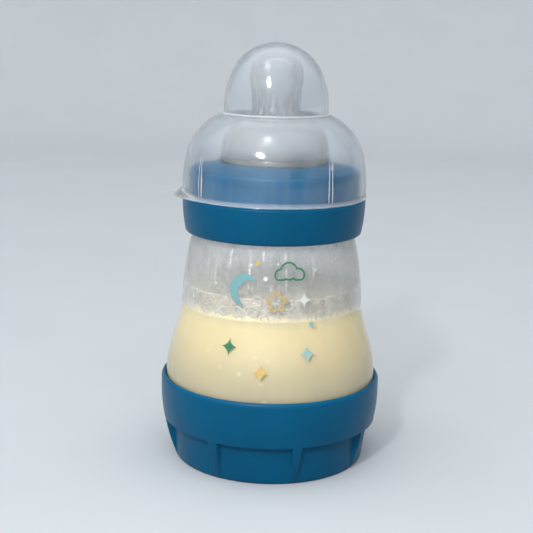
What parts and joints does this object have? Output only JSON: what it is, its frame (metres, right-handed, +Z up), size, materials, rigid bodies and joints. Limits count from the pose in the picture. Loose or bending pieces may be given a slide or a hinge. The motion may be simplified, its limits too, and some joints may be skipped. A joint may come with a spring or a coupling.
{
  "type": "baby bottle",
  "caption": "Small self-vented baby bottle with a screw-on base cup, waisted clear body, screw collar, silicone teat and domed clear cap, part filled with milk.",
  "frame": {"origin": "centre of the foot ring, in the plane that the bottle stands on", "axes": "+Z up the axis of the bottle, -Y to the printed front, -X to the cap's thumb tab"},
  "size_m": [0.071, 0.0708, 0.1329],
  "materials": {
    "blue_plastic": "satin moulded polypropylene, deep teal blue",
    "bottle_plastic": "clear moulded polypropylene, slightly hazy",
    "cap_plastic": "clear moulded polypropylene, slightly milky",
    "teat_silicone": "clear matt silicone",
    "valve_silicone": "clear silicone",
    "milk": "creamy liquid",
    "froth": "fine bubbles on the milk",
    "print_ink": "screen-printed inks"
  },
  "bodies": {
    "bottle": {"bottle_body": "bottle_plastic", "milk": "milk", "milk_froth": "froth"},
    "teat": {"teat": "teat_silicone"},
    "collar": {"screw_ring": "blue_plastic"},
    "cap": {"protective_cap": "cap_plastic"},
    "valve": {"vent_valve": "valve_silicone"},
    "base": {"base_cup": "blue_plastic"}
  },
  "joints": [
    {"name": "collar_rise", "type": "slide", "parent": "bottle", "child": "teat", "axis": [0, 0, 1], "range_m": [0, 0.006]},
    {"name": "collar_turn", "type": "hinge", "parent": "teat", "child": "collar", "pos_m": [0, 0, 0.0926], "axis": [0, 0, 1], "range_deg": [0, 540]},
    {"name": "cap_lift", "type": "slide", "parent": "collar", "child": "cap", "axis": [0, 0, 1], "range_m": [0, 0.055]},
    {"name": "base_drop", "type": "slide", "parent": "bottle", "child": "valve", "axis": [0, 0, -1], "range_m": [0, 0.006]},
    {"name": "base_turn", "type": "hinge", "parent": "valve", "child": "base", "pos_m": [0, 0, 0.0112], "axis": [0, 0, -1], "range_deg": [0, 540]}
  ],
  "couplings": [
    {"joint": "collar_rise", "follows": "collar_turn", "m_per_rad": 0.000636},
    {"joint": "base_drop", "follows": "base_turn", "m_per_rad": 0.000636}
  ]
}
